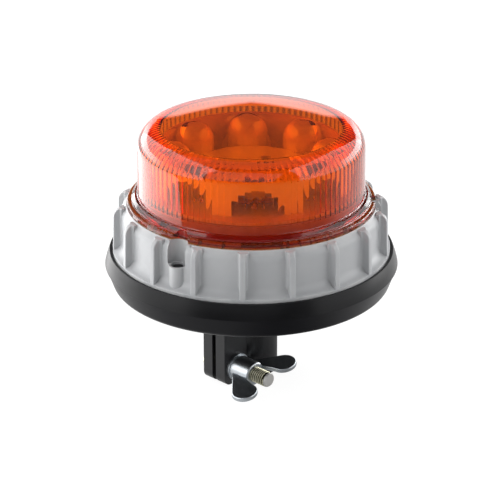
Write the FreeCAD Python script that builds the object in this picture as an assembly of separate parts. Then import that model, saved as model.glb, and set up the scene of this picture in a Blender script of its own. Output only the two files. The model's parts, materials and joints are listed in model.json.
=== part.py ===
import FreeCAD, Part
import math
import os

# Strobe beacon for a pole socket: a fluted amber lens on a ribbed die-cast housing,
# a rubber rim, a moulded base disc, and a split stem under it that a bolt and a wing
# nut clamp round the pole. Millimetres and degrees. The origin is on the stem's axis at
# the mouth of the socket, with +Z up and the photographed front towards -Y.

Vector = FreeCAD.Vector
UP = Vector(0, 0, 1)
ORIGIN = Vector(0, 0, 0)

# Pole socket and split stem
pole_diameter = 24.0
pole_fit = 0.1
stem_wall = 1.6
stem_length = 50.5
socket_roof = 5.0
slit_width = 2.6
slit_bridge = 2.5
ear_thickness = 6.35
ear_margin = 8.9
ear_corner = 4.5
clamp_turn = 226.0
stem_seat_depth = 1.0
stem_spigot_radius = 12.6
stem_fit = 0.1

# Clamp bolt, washer and wing nut
bolt_diameter = 8.0
bolt_length = 36.5
bolt_height = 9.0
bolt_clearance = 0.335
bolt_hole_fit = 0.3
bolt_end_chamfer = 0.8
hex_flats = 13.0
hex_height = 5.3
hex_fit = 0.15
hex_pocket_depth = 2.5
washer_diameter = 14.8
washer_thickness = 1.6
washer_fit = 0.2
seat_gap = 0.05
nut_fit = 0.06
nut_height = 12.0
nut_base_diameter = 13.4
nut_top_diameter = 12.6
wing_span = 43.2
wing_height = 25.0
wing_thickness = 2.6
wing_lobe = 13.4
wing_edge_round = 0.7
wing_rest_turn = 11.6

# Base disc
base_radius = 76.0
base_height = 11.2
base_taper = 4.4
base_edge_round = 3.6
base_floor = 3.0
base_wall = 6.6
seam_step = 0.4
floor_rib_count = 9
floor_rib_thickness = 2.0
floor_rib_height = 3.0

# Rubber rim round the foot of the housing
rim_height = 7.7
rim_lean = 2.5
rim_lip = 1.3
rim_ledge_height = 5.5
rim_bulge = 0.2

# Ribbed housing
housing_height = 32.6
foot_clearance = 0.4
foot_edge = 3.8
recess_depth = 4.7
recess_flare = 5.0
shoulder_drop = 3.4
shoulder_round = 5.0
housing_wall = 3.5
deck_rise = 8.3
deck_fit = 0.3
deck_thickness = 3.4
skirt_clearance = 0.3
rib_count = 18
rib_thickness = 3.0
rib_root_round = 1.2
rib_edge_round = 0.6
rib_corner = 5.0
first_rib_angle = -93.5
rib_top_drop = 0.2
rib_fall = 0.4
rib_draft = 0.8

# Screws that hold the housing to the base
screw_count = 3
screw_angle = -123.5
screw_inset = 1.6
screw_diameter = 4.0
screw_fit = 0.1
screw_head_diameter = 6.6
screw_head_height = 3.0
screw_seat_height = 17.2
screw_engagement = 7.0
head_fit = 0.2
boss_diameter = 9.2
boss_height = 20.9
pocket_diameter = 10.4
base_boss_diameter = 10.0

# Lens
lens_height = 44.45
lens_crown = 4.8
flange_inset = 3.2
flange_width = 5.4
lens_draft = 0.7
lens_wall = 3.0
lens_shoulder = 10.5
flange_height = 2.5
flange_slope = 0.4
flange_step = 2.4
flange_step_height = 1.0
collar_width = 1.6
collar_slope = 1.5
lens_foot_round = 1.2
notch_ledge = 1.2
flute_count = 108
flute_depth = 0.3
flute_foot = 3.0
flute_break = 13.65
flute_bulge = 1.5
lens_top_inset = 12.5
seal_inset = 0.9
seal_groove_width = 2.6
seal_groove_depth = 1.2
seal_fit = 0.15

# Light unit on the deck
pad_thickness = 0.5
led_board_margin = 1.5
led_board_thickness = 1.6
reflector_count = 8
first_reflector_angle = -87.0
reflector_margin = 6.5
reflector_mouth_share = 0.3
reflector_length_share = 0.338
reflector_back_share = 0.232
reflector_height_share = 0.437
reflector_dome_share = 0.75
reflector_wall = 0.8
reflector_plate = 0.8
reflector_hub_share = 0.667
reflector_hub_height = 6.8
led_size = 3.4
led_height = 1.2
led_dome_radius = 1.4
unit_screw_count = 3
unit_screw_angle = 60.0
unit_screw_share = 0.48
unit_screw_diameter = 3.0
unit_screw_head_diameter = 5.5
unit_screw_head_height = 2.0
unit_screw_fit = 0.1
unit_screw_depth = 2.6

# Driver electronics under the deck
driver_board_margin = 5.0
driver_board_thickness = 1.6
standoff_height = 8.0
standoff_flats = 5.5
standoff_count = 3
standoff_angle = 60.0
standoff_inset = 8.0
link_length = 12.0
link_width = 5.0
link_offset = 26.0
link_fit = 0.4
capacitor_diameter = 10.0
capacitor_height = 16.0
capacitor_angle = 20.0
capacitor_inset = 12.0
inductor_diameter = 14.0
inductor_height = 9.0
inductor_flange = 1.5
inductor_waist = 9.0
chip_length = 10.0
chip_width = 6.2
chip_height = 1.7
switch_length = 10.0
switch_width = 8.8
switch_height = 4.5
terminal_length = 12.0
terminal_width = 9.0
terminal_height = 10.0
terminal_offset = 16.0

# Contacts above the pole
contact_hole_radius = 9.0
earth_ring_thickness = 0.8
earth_ring_fit = 0.2
earth_ledge = 0.4
earth_tab_width = 4.0
earth_tab_height = 14.0
earth_tab_fit = 0.3
carrier_fit = 0.3
carrier_spigot = 5.3
carrier_flange_radius = 17.0
carrier_flange = 2.2
carrier_tower_radius = 7.0
carrier_tower_height = 12.2
chamber_radius = 4.6
chamber_floor = 3.5
plunger_diameter = 5.0
plunger_fit = 0.1
plunger_reach = 1.6
plunger_collar_diameter = 8.4
plunger_collar = 2.0
plunger_pilot_diameter = 4.6
plunger_pilot = 2.0
plunger_tip_round = 1.2
spring_wire = 0.7
spring_radius = 3.4
spring_turns = 5
cap_thickness = 1.0
cap_overhang = 0.4
tag_width = 3.0
tag_height = 6.0
carrier_screw_diameter = 2.5
carrier_screw_circle = 10.8
carrier_screw_fit = 0.05
carrier_screw_head_diameter = 4.5
carrier_screw_head = 1.6
carrier_screw_depth = 4.0
lead_diameter = 1.8
lead_bend = 5.0

# Heights and radii that follow from the sizes above
bore_radius = pole_diameter / 2 + pole_fit
stem_radius = bore_radius + stem_wall
pole_depth = stem_length - socket_roof
slit_depth = stem_length - slit_bridge
ear_face = slit_width / 2 + ear_thickness
bolt_offset = math.sqrt(stem_radius ** 2 - ear_face ** 2) + washer_diameter / 2 + bolt_clearance
ear_reach = bolt_offset + ear_margin
stem_top = stem_length + stem_seat_depth
floor_top = stem_length + base_floor
seam_z = stem_length + base_height
rim_top = seam_z + rim_height
ledge_z = seam_z + rim_ledge_height
seat_z = seam_z + housing_height
deck_top = seat_z + deck_rise
lens_top = seat_z + lens_height
lens_foot_z = seat_z + flange_height + flange_slope + flange_step_height + collar_slope
base_bottom_radius = base_radius - base_taper
base_inner_radius = base_radius - seam_step - base_wall
rim_top_radius = base_radius - rim_lean
foot_radius = rim_top_radius - rim_lip - foot_clearance
recess_radius = foot_radius - recess_depth
screw_circle = recess_radius - screw_inset
flange_radius = recess_radius - flange_inset
lens_radius = flange_radius - flange_width
lens_upper_radius = lens_radius - lens_draft
lens_inner_top_radius = lens_radius - lens_top_inset
crown_radius = (lens_upper_radius ** 2 + lens_crown ** 2) / (2 * lens_crown)
seal_groove_radius = lens_radius - seal_inset
deck_radius = lens_upper_radius - lens_wall - deck_fit
skirt_radius = base_inner_radius + skirt_clearance
rim_inner_radius = skirt_radius + skirt_clearance
cavity_radius = recess_radius - housing_wall
deck_cavity_radius = deck_radius - housing_wall
led_board_radius = deck_radius - led_board_margin
reflector_mouth_circle = led_board_radius - reflector_margin
reflector_mouth_radius = reflector_mouth_circle * reflector_mouth_share
reflector_length = reflector_mouth_circle * reflector_length_share
reflector_back_radius = reflector_mouth_circle * reflector_back_share
reflector_height = reflector_mouth_circle * reflector_height_share
reflector_hub_radius = reflector_mouth_circle * reflector_hub_share
unit_screw_circle = reflector_hub_radius * unit_screw_share
driver_board_radius = deck_cavity_radius - driver_board_margin
standoff_circle = driver_board_radius - standoff_inset
capacitor_circle = standoff_circle - capacitor_inset
deck_bottom = deck_top - deck_thickness
pad_top = deck_top + pad_thickness
led_board_top = pad_top + led_board_thickness
plate_top = led_board_top + reflector_plate
driver_top = deck_bottom - standoff_height
driver_bottom = driver_top - driver_board_thickness
screw_seat_z = seam_z + screw_seat_height
boss_top = seam_z + boss_height
earth_ring_top = pole_depth + earth_ring_thickness
earth_seat_radius = bore_radius - earth_ledge
carrier_bottom = floor_top - carrier_spigot
chamber_bottom = carrier_bottom + chamber_floor
tower_top = floor_top + carrier_tower_height
collar_bottom = chamber_bottom + seat_gap
collar_top = collar_bottom + plunger_collar


def rounded_wire(corners, lift):
    """Closed wire through corners given as (across, up, rounding); lift puts a flat point in space."""
    joints = []
    befores = corners[-1:] + corners[:-1]
    afters = corners[1:] + corners[:1]
    for before, corner, after in zip(befores, corners, afters):
        point = Vector(corner[0], corner[1], 0)
        back = Vector(before[0], before[1], 0) - point
        ahead = Vector(after[0], after[1], 0) - point
        room = min(
            back.Length * (0.49 if before[2] else 0.98),
            ahead.Length * (0.49 if after[2] else 0.98),
        )
        back.normalize()
        ahead.normalize()
        half_angle = back.getAngle(ahead) / 2
        cut = min(corner[2] / math.tan(half_angle), room) if corner[2] else 0
        radius = cut * math.tan(half_angle)
        if cut:
            inward = (back + ahead).normalize()
            middle = point + inward * (radius / math.sin(half_angle) - radius)
        else:
            middle = point
        joints.append((point + back * cut, middle, point + ahead * cut, cut))
    edges = []
    for joint, following in zip(joints, joints[1:] + joints[:1]):
        if joint[3]:
            edges.append(Part.Arc(lift(joint[0]), lift(joint[1]), lift(joint[2])).toShape())
        if (following[0] - joint[2]).Length > 1e-6:
            edges.append(Part.LineSegment(lift(joint[2]), lift(following[0])).toShape())
    return Part.Wire(edges)


def turned(corners):
    """Solid turned about the Z axis from an outline of (radius, height, rounding)."""
    wire = rounded_wire(corners, lambda point: Vector(point.x, 0, point.y))
    return Part.Face(wire).revolve(ORIGIN, UP, 360)


def upright(corners, thickness):
    """Plate in the XZ plane from (x, z, rounding), centred on Y."""
    wire = rounded_wire(corners, lambda point: Vector(point.x, -thickness / 2, point.y))
    return Part.Face(wire).extrude(Vector(0, thickness, 0))


def flat(corners, bottom, thickness):
    """Plate parallel to the XY plane from (x, y, rounding), standing on the height bottom."""
    wire = rounded_wire(corners, lambda point: Vector(point.x, point.y, bottom))
    return Part.Face(wire).extrude(Vector(0, 0, thickness))


def rod(radius, bottom, top, x=0, y=0):
    """Upright cylinder between two heights."""
    return Part.makeCylinder(radius, top - bottom, Vector(x, y, bottom))


def block(length, width, bottom, top, x=0, y=0, rounding=0):
    """Upright block centred on (x, y), with rounded upright edges."""
    half_length = length / 2
    half_width = width / 2
    corners = [
        (x - half_length, y - half_width, rounding),
        (x + half_length, y - half_width, rounding),
        (x + half_length, y + half_width, rounding),
        (x - half_length, y + half_width, rounding),
    ]
    return flat(corners, bottom, top - bottom)


def polygon(sides, flat_radius, bottom, top):
    """Upright regular prism about the Z axis, with one flat side square to +X."""
    corner_radius = flat_radius / math.cos(math.pi / sides)
    corners = []
    for step in range(sides):
        corner = on_circle(corner_radius, 360 / sides * (step + 0.5))
        corners.append((corner.x, corner.y, 0))
    return flat(corners, bottom, top - bottom)


def hexagon(flats, bottom, top, x=0, y=0):
    """Upright hexagonal prism, with two flat sides square to X."""
    return polygon(6, flats / 2, bottom, top).translated(Vector(x, y, 0))


def spun(shape, angle):
    """Copy of a shape turned about the Z axis."""
    return shape.rotated(ORIGIN, UP, angle)


def ring_of(shape, count, first_angle=0):
    """Copies of a shape, evenly spaced about the Z axis."""
    return [spun(shape, first_angle + 360 / count * step) for step in range(count)]


def along_bolt(shape):
    """Puts a shape built about +Z, with Z = 0 on the stem's middle plane, on the clamp bolt's axis."""
    laid = shape.rotated(ORIGIN, Vector(1, 0, 0), -90)
    return spun(laid.translated(Vector(bolt_offset, 0, bolt_height)), clamp_turn)


def on_circle(radius, angle):
    """Point on a circle about the Z axis."""
    return Vector(radius * math.cos(math.radians(angle)), radius * math.sin(math.radians(angle)), 0)


def make_mount_base():
    """Base disc with screw bosses and floor ribs inside, recessed underneath for the stem."""
    disc = turned([
        (0, stem_length, 0),
        (base_bottom_radius, stem_length, base_edge_round),
        (base_radius - seam_step, seam_z, 0),
        (base_inner_radius, seam_z, 0),
        (base_inner_radius - base_floor, floor_top, base_floor),
        (0, floor_top, 0),
    ])
    boss = rod(base_boss_diameter / 2, stem_length + base_floor / 2, seam_z, screw_circle)
    bosses = ring_of(boss, screw_count, screw_angle)
    inner_end = carrier_flange_radius + floor_rib_thickness
    floor_rib = Part.makeBox(
        base_inner_radius - base_floor - inner_end, floor_rib_thickness, floor_rib_height + base_floor / 2,
        Vector(inner_end, -floor_rib_thickness / 2, floor_top - base_floor / 2))
    floor_ribs = ring_of(floor_rib, floor_rib_count, screw_angle + 180 / floor_rib_count)
    body = disc.fuse(bosses + floor_ribs)

    stem_seat = stem_outline(stem_length, stem_top, stem_fit)
    spigot_hole = rod(stem_spigot_radius + stem_fit, stem_top, floor_top)
    screw_hole = rod(
        screw_diameter / 2 + screw_fit, seam_z - screw_engagement - screw_fit, seam_z, screw_circle)
    return body.cut([stem_seat, spigot_hole] + ring_of(screw_hole, screw_count, screw_angle))


def stem_outline(bottom, top, growth):
    """Stem and ears seen from above, as one upright body between two heights."""
    reach = ear_reach + growth
    width = 2 * (ear_face + growth)
    ears = block(reach, width, bottom, top, reach / 2)
    return spun(rod(stem_radius + growth, bottom, top).fuse(ears), clamp_turn)


def make_pole_clamp():
    """Split stem with two clamp ears, seated in the base disc and held by a spigot through its floor."""
    ears = upright([
        (0, 0, 0),
        (ear_reach, 0, ear_corner),
        (ear_reach, stem_top, 0),
        (0, stem_top, 0),
    ], 2 * ear_face)
    spigot = rod(stem_spigot_radius, 0, floor_top)
    body = rod(stem_radius, 0, stem_top).fuse([spigot, spun(ears, clamp_turn)])

    bore = rod(bore_radius, 0, pole_depth)
    earth_seat = rod(earth_seat_radius, pole_depth, earth_ring_top)
    contact_hole = rod(contact_hole_radius, earth_ring_top, floor_top)
    slit = Part.makeBox(ear_reach, slit_width, slit_depth, Vector(0, -slit_width / 2, 0))
    bolt_hole = rod(bolt_diameter / 2 + bolt_hole_fit, -ear_face, ear_face)
    hex_pocket = hexagon(hex_flats + 2 * hex_fit, -ear_face, -ear_face + hex_pocket_depth)
    tab_slot = block(
        2 * earth_tab_fit + earth_ring_thickness, earth_tab_width + 2 * earth_tab_fit,
        earth_ring_top, floor_top, earth_tab_x())
    carrier_holes = carrier_screw_holes(floor_top - carrier_screw_depth, floor_top)
    cuts = [bore, earth_seat, contact_hole, along_bolt(bolt_hole), along_bolt(hex_pocket)]
    cuts += [spun(piece, clamp_turn) for piece in [slit, tab_slot] + carrier_holes]
    return body.cut(cuts)


def carrier_screw_holes(bottom, top):
    """Holes for the two screws that hold the contact carrier."""
    radius = carrier_screw_diameter / 2 + carrier_screw_fit
    return [rod(radius, bottom, top, 0, side) for side in (-carrier_screw_circle, carrier_screw_circle)]


def earth_tab_x():
    """Place of the earth tab, on the side of the socket away from the slit."""
    return -(contact_hole_radius + bore_radius) / 2


def make_base_rim():
    """Rubber ring on the base disc, with a thin lip that stands round the housing's foot."""
    middle = (base_radius + rim_top_radius) / 2 + rim_bulge
    lower = Vector(base_radius, 0, seam_z)
    upper = Vector(rim_top_radius, 0, rim_top)
    side = Part.Arc(lower, Vector(middle, 0, (seam_z + rim_top) / 2), upper).toShape()
    lip_radius = rim_top_radius - rim_lip
    corners = [
        upper,
        Vector(lip_radius, 0, rim_top),
        Vector(lip_radius, 0, ledge_z),
        Vector(rim_inner_radius, 0, ledge_z),
        Vector(rim_inner_radius, 0, seam_z),
        lower,
    ]
    edges = [side] + [Part.LineSegment(a, b).toShape() for a, b in zip(corners, corners[1:])]
    return Part.Face(Part.Wire(edges)).revolve(ORIGIN, UP, 360)


def housing_body():
    """Turned form of the housing: skirt, flared foot, recessed wall, shoulder, lens seat and deck."""
    flare_z = ledge_z + foot_edge + recess_flare / 3
    return turned([
        (skirt_radius, seam_z, 0),
        (skirt_radius, ledge_z, 0),
        (foot_radius, ledge_z, 0),
        (foot_radius, ledge_z + foot_edge, 0),
        (recess_radius, flare_z, recess_flare),
        (recess_radius, seat_z - shoulder_drop, shoulder_round),
        (flange_radius + foot_clearance, seat_z, 0),
        (deck_radius, seat_z, 0),
        (deck_radius, deck_top, 0),
        (0, deck_top, 0),
        (0, deck_bottom, 0),
        (deck_cavity_radius, deck_bottom, housing_wall),
        (deck_cavity_radius, seat_z - housing_wall, 0),
        (cavity_radius, seat_z - housing_wall, housing_wall),
        (cavity_radius, seam_z, 0),
    ])


def housing_rib():
    """One upright rib with a flared root and a rounded upper corner, along +X."""
    root = recess_radius - housing_wall / 2
    bottom = ledge_z + foot_edge / 2
    top = seat_z - rib_top_drop
    side = upright([
        (root, bottom, 0),
        (foot_radius, bottom, 0),
        (foot_radius - rib_draft, top - rib_fall, rib_corner),
        (flange_radius + foot_clearance, top, 0),
        (root, top, 0),
    ], 4 * rib_thickness)
    half = rib_thickness / 2
    flare = half + rib_root_round
    plan = flat([
        (root, -flare, 0),
        (recess_radius, -flare, 0),
        (recess_radius + rib_root_round / 4, -half, rib_root_round),
        (foot_radius, -half, 0),
        (foot_radius, half, 0),
        (recess_radius + rib_root_round / 4, half, rib_root_round),
        (recess_radius, flare, 0),
        (root, flare, 0),
    ], bottom, top - bottom)
    rib = side.common(plan)
    edges = [edge for edge in rib.Edges if on_rib_side(edge)]
    return rib.makeFillet(rib_edge_round, edges)


def on_rib_side(edge):
    """Whether an edge runs along the outer border of one of a rib's two sides."""
    box = edge.BoundBox
    away = recess_radius + rib_root_round
    return box.YLength < rib_edge_round / 10 and abs(box.YMin) > rib_thickness / 4 and box.XMax > away


def make_housing():
    """Die-cast housing: ribs round the wall, and three screw bosses in open pockets."""
    boss_foot = rod(boss_diameter / 2, seam_z, ledge_z, screw_circle)
    boss_foot = boss_foot.common(rod(skirt_radius, seam_z, ledge_z))
    boss = rod(boss_diameter / 2, ledge_z, boss_top, screw_circle).fuse(boss_foot)
    ribs = ring_of(housing_rib(), rib_count, first_rib_angle)
    body = housing_body()
    pocket = rod(pocket_diameter / 2, boss_top, seat_z, screw_circle)
    mouth = Part.makeBox(
        foot_radius - screw_circle, pocket_diameter, seat_z - boss_top,
        Vector(screw_circle, -pocket_diameter / 2, boss_top))
    pocket_wall = rod(pocket_diameter / 2 + housing_wall / 2, boss_top - housing_wall, seat_z, screw_circle)
    inner_wall = pocket_wall.common(rod(recess_radius - housing_wall / 2, seam_z, seat_z))
    body = body.fuse(ribs + ring_of(boss.fuse(inner_wall), screw_count, screw_angle))

    head_hole = rod(screw_head_diameter / 2 + head_fit, screw_seat_z, boss_top, screw_circle)
    shank_hole = rod(screw_diameter / 2 + screw_fit, seam_z, screw_seat_z, screw_circle)
    opening = pocket.fuse([mouth, head_hole, shank_hole])
    groove = rod(seal_groove_radius + seal_groove_width / 2, seat_z - seal_groove_depth, seat_z).cut(
        rod(seal_groove_radius - seal_groove_width / 2, seat_z - seal_groove_depth, seat_z))
    unit_hole = rod(
        unit_screw_diameter / 2 + unit_screw_fit, deck_top - unit_screw_depth, deck_top, unit_screw_circle)
    standoff_hole = rod(
        unit_screw_diameter / 2 + unit_screw_fit,
        deck_bottom, deck_bottom + unit_screw_depth, standoff_circle)
    cuts = ring_of(opening, screw_count, screw_angle) + [groove, board_link_hole(deck_bottom, deck_top)]
    cuts += ring_of(unit_hole, unit_screw_count, unit_screw_angle)
    cuts += ring_of(standoff_hole, standoff_count, standoff_angle)
    return body.cut(cuts)


def make_housing_screw():
    """Cap screw whose head lies in the mouth of a housing boss, down into the base."""
    head_radius = screw_head_diameter / 2
    shank_radius = screw_diameter / 2
    return turned([
        (0, seam_z - screw_engagement, 0),
        (shank_radius, seam_z - screw_engagement, shank_radius / 3),
        (shank_radius, screw_seat_z, 0),
        (head_radius, screw_seat_z, 0),
        (head_radius, screw_seat_z + screw_head_height, head_radius / 3),
        (0, screw_seat_z + screw_head_height, 0),
    ]).translated(Vector(screw_circle, 0, 0))


def fluted_wire(radius, height):
    """Ring of shallow flutes about the Z axis, each an arc that bulges inwards."""
    step = 360 / flute_count
    lift = UP * height
    arcs = []
    for number in range(flute_count):
        ends = [on_circle(radius, step * place) + lift for place in (number, number + 1)]
        crest = on_circle(radius - flute_depth, step * (number + 0.5)) + lift
        arcs.append(Part.Arc(ends[0], crest, ends[1]).toShape())
    return Part.Wire(arcs)


def crown_height(radius, inset):
    """Height of the domed top at a radius, taken inset below its outside."""
    return lens_top - crown_radius + math.sqrt((crown_radius - inset) ** 2 - radius ** 2)


def crown_ball(inset):
    """Ball whose cap is the domed top, taken inset below its outside."""
    return Part.makeSphere(crown_radius - inset, Vector(0, 0, lens_top - crown_radius))


def lens_outside():
    """Outer form of the lens: stepped flange, sloping collar, drafted wall, round shoulder, domed top."""
    step_radius = flange_radius - flange_step
    collar_z = lens_foot_z - collar_slope
    body = turned([
        (0, seat_z, 0),
        (flange_radius, seat_z, 0),
        (flange_radius, seat_z + flange_height, flange_height / 3),
        (step_radius, collar_z - flange_step_height, flange_slope),
        (step_radius, collar_z, flange_slope),
        (step_radius - collar_width, lens_foot_z, flange_slope),
        (lens_radius, lens_foot_z, lens_foot_round),
        (lens_upper_radius, lens_top, 0),
        (0, lens_top, 0),
    ]).common(crown_ball(0))
    shoulder = [
        edge for edge in body.Edges
        if edge.BoundBox.ZMin > lens_foot_z + lens_shoulder and edge.Length > 4 * lens_upper_radius
    ]
    return body.makeFillet(lens_shoulder, shoulder)


def lens_hollow():
    """Inside of the lens: a plain foot, a fluted wall that curves in, and a plain domed roof."""
    wall_radius = lens_upper_radius - lens_wall + flute_depth
    flute_z = lens_foot_z + flute_foot
    break_z = lens_top - flute_break
    roof_z = crown_height(lens_inner_top_radius, lens_wall)
    bend_radius = (wall_radius + lens_inner_top_radius + flute_bulge) / 2
    bend_z = (break_z + roof_z + flute_bulge) / 2
    fluted = Part.makeLoft([
        fluted_wire(wall_radius, flute_z),
        fluted_wire(wall_radius, break_z),
        fluted_wire(bend_radius, bend_z),
        fluted_wire(lens_inner_top_radius, roof_z),
    ], True, True)
    roof = crown_ball(lens_wall).common(rod(lens_inner_top_radius - 2 * flute_depth, break_z, lens_top))
    foot = rod(lens_upper_radius - lens_wall - deck_fit / 4, seat_z, flute_z)
    return [foot, fluted, roof]


def make_lens_dome():
    """Lens with a stepped flange outside and flutes inside, notched for the screws."""
    notch = rod(pocket_diameter / 2, seat_z, lens_foot_z, screw_circle).cut(
        rod(lens_radius + notch_ledge, seat_z, lens_foot_z))
    return lens_outside().cut(lens_hollow() + ring_of(notch, screw_count, screw_angle))


def make_lens_seal():
    """Sealing ring in the groove under the lens flange."""
    half = seal_groove_width / 2 - seal_fit
    rounding = seal_groove_depth / 4
    return turned([
        (seal_groove_radius - half, seat_z - seal_groove_depth, rounding),
        (seal_groove_radius + half, seat_z - seal_groove_depth, rounding),
        (seal_groove_radius + half, seat_z, rounding),
        (seal_groove_radius - half, seat_z, rounding),
    ])


def unit_screw_holes(bottom, top):
    """Clearance holes for the light unit's screws."""
    hole = rod(unit_screw_diameter / 2 + unit_screw_fit, bottom, top, unit_screw_circle)
    return ring_of(hole, unit_screw_count, unit_screw_angle)


def board_link_hole(bottom, top):
    """Way through for the connector between the two boards."""
    return block(link_length + 2 * link_fit, link_width + 2 * link_fit, bottom, top, link_offset)


def make_thermal_pad():
    """Heat-conducting pad between the deck and the light board."""
    pad = rod(led_board_radius, deck_top, pad_top)
    return pad.cut(unit_screw_holes(deck_top, pad_top) + [board_link_hole(deck_top, pad_top)])


def make_led_board():
    """Round circuit board that carries the light-emitting diodes."""
    board = rod(led_board_radius, pad_top, led_board_top)
    return board.cut(unit_screw_holes(pad_top, led_board_top))


def bowl(wall):
    """Half paraboloid that opens outwards along +X, grown by a wall thickness."""
    length = reflector_length + wall
    radius = reflector_mouth_radius + wall
    vertex = reflector_mouth_circle - length
    steps = 6
    points = []
    for step in range(steps + 1):
        share = step / steps
        points.append(Vector(vertex + length * share ** 2, 0, radius * share))
    curve = Part.BSplineCurve()
    curve.interpolate(points)
    mouth = Vector(reflector_mouth_circle, 0, 0)
    edges = [
        curve.toShape(),
        Part.LineSegment(points[-1], mouth).toShape(),
        Part.LineSegment(mouth, points[0]).toShape(),
    ]
    half = Part.Face(Part.Wire(edges)).revolve(ORIGIN, Vector(1, 0, 0), 180)
    half.rotate(ORIGIN, Vector(1, 0, 0), 90)
    if half.CenterOfMass.z < 0:
        half.rotate(ORIGIN, Vector(1, 0, 0), 180)
    return half.translated(Vector(0, 0, led_board_top))


def reflector_back(inset):
    """Thimble with a domed top that backs one reflector, along +X, taken inset below its outside."""
    place = reflector_mouth_circle - reflector_length - reflector_wall + reflector_back_radius
    radius = reflector_back_radius - inset
    top = led_board_top + reflector_height - inset
    return turned([
        (0, led_board_top, 0),
        (radius, led_board_top, 0),
        (radius, top, radius * reflector_dome_share),
        (0, top, 0),
    ]).translated(Vector(place, 0, 0))


def make_reflector_crown():
    """Ring of reflectors in one front wall with a hub, each over one light-emitting diode."""
    wall_top = led_board_top + reflector_height
    outline = rod(reflector_mouth_circle, led_board_top, wall_top)
    inside = rod(reflector_mouth_circle - reflector_wall, led_board_top, wall_top)
    plate = rod(reflector_mouth_circle, led_board_top, plate_top)
    front_wall = outline.cut(inside).fuse(plate)
    hub_top = plate_top + reflector_hub_height
    hub = turned([
        (0, led_board_top, 0),
        (reflector_hub_radius, led_board_top, 0),
        (reflector_hub_radius, hub_top, reflector_wall),
        (0, hub_top, 0),
    ])
    back = reflector_back(0).fuse(bowl(reflector_wall)).common(outline)
    backs = ring_of(back, reflector_count, first_reflector_angle)
    hollow = reflector_back(reflector_wall).common(inside).fuse(bowl(0))
    hollows = ring_of(hollow, reflector_count, first_reflector_angle)
    screw_wells = ring_of(
        rod(unit_screw_head_diameter / 2 + unit_screw_fit, plate_top, hub_top, unit_screw_circle),
        unit_screw_count, unit_screw_angle)
    core_radius = reflector_mouth_circle - reflector_length - 2 * reflector_wall
    pillar_radius = unit_screw_head_diameter / 2 + 2 * reflector_wall
    pillar = rod(pillar_radius, led_board_top, hub_top, unit_screw_circle)
    core = rod(core_radius, led_board_top, hub_top - reflector_wall)
    core = core.cut(ring_of(pillar, unit_screw_count, unit_screw_angle))
    body = front_wall.fuse(backs + [hub])
    return body.cut(hollows + screw_wells + unit_screw_holes(led_board_top, plate_top) + [core])


def make_led():
    """Light-emitting diode at the focus of one reflector, along +X."""
    focal = reflector_mouth_radius ** 2 / (4 * reflector_length)
    place = reflector_mouth_circle - reflector_length + focal
    carrier = block(led_size, led_size, led_board_top, led_board_top + led_height, place)
    dome = Part.makeSphere(led_dome_radius, Vector(place, 0, led_board_top + led_height), UP, 0, 90)
    return carrier.fuse(dome)


def make_unit_screw():
    """Pan-head screw that holds the reflectors and the light board on the deck."""
    head_radius = unit_screw_head_diameter / 2
    shank_radius = unit_screw_diameter / 2
    return turned([
        (0, deck_top - unit_screw_depth, 0),
        (shank_radius, deck_top - unit_screw_depth, 0),
        (shank_radius, plate_top, 0),
        (head_radius, plate_top, 0),
        (head_radius, plate_top + unit_screw_head_height, unit_screw_head_height / 2),
        (0, plate_top + unit_screw_head_height, 0),
    ]).translated(Vector(unit_screw_circle, 0, 0))


def make_board_link():
    """Plug-through connector between the driver board and the light board."""
    return block(link_length, link_width, driver_top, pad_top, link_offset)


def make_standoff():
    """Hexagonal spacer between the deck and the driver board."""
    hole = rod(unit_screw_diameter / 2 + unit_screw_fit, driver_top, deck_bottom, standoff_circle)
    return hexagon(standoff_flats, driver_top, deck_bottom, standoff_circle).cut(hole)


def make_driver_board():
    """Round circuit board that drives the flashes."""
    board = rod(driver_board_radius, driver_bottom, driver_top)
    hole = rod(unit_screw_diameter / 2 + unit_screw_fit, driver_bottom, driver_top, standoff_circle)
    return board.cut(ring_of(hole, standoff_count, standoff_angle))


def make_driver_screw():
    """Screw through the driver board and its spacer into the deck."""
    head_radius = unit_screw_head_diameter / 2
    shank_radius = unit_screw_diameter / 2
    head_bottom = driver_bottom - unit_screw_head_height
    return turned([
        (0, head_bottom, 0),
        (head_radius, head_bottom, unit_screw_head_height / 2),
        (head_radius, driver_bottom, 0),
        (shank_radius, driver_bottom, 0),
        (shank_radius, deck_bottom + unit_screw_depth, 0),
        (0, deck_bottom + unit_screw_depth, 0),
    ]).translated(Vector(standoff_circle, 0, 0))


def make_capacitor():
    """Electrolytic capacitor with a crimped neck, hanging under the driver board."""
    radius = capacitor_diameter / 2
    crimp = radius / 8
    bottom = driver_bottom - capacitor_height
    return turned([
        (0, bottom, 0),
        (radius, bottom, crimp),
        (radius, driver_bottom - 4 * crimp, 0),
        (radius - crimp, driver_bottom - 3 * crimp, 0),
        (radius, driver_bottom - 2 * crimp, 0),
        (radius, driver_bottom, 0),
        (0, driver_bottom, 0),
    ]).translated(Vector(capacitor_circle, 0, 0))


def make_inductor():
    """Drum-core inductor under the driver board."""
    radius = inductor_diameter / 2
    waist = inductor_waist / 2
    bottom = driver_bottom - inductor_height
    return turned([
        (0, bottom, 0),
        (radius, bottom, 0),
        (radius, bottom + inductor_flange, 0),
        (waist, bottom + inductor_flange, 0),
        (waist, driver_bottom - inductor_flange, 0),
        (radius, driver_bottom - inductor_flange, 0),
        (radius, driver_bottom, 0),
        (0, driver_bottom, 0),
    ]).translated(Vector(-capacitor_circle, 0, 0))


def make_controller_chip():
    """Flash controller under the driver board."""
    return block(chip_length, chip_width, driver_bottom - chip_height, driver_bottom,
                 -chip_length / 2, chip_length)


def make_power_switch():
    """Power transistor under the driver board."""
    return block(switch_length, switch_width, driver_bottom - switch_height, driver_bottom,
                 -switch_length / 2, -2 * switch_width)


def terminal_bottom():
    """Height of the terminal block's lower face."""
    return driver_bottom - terminal_height


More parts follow.
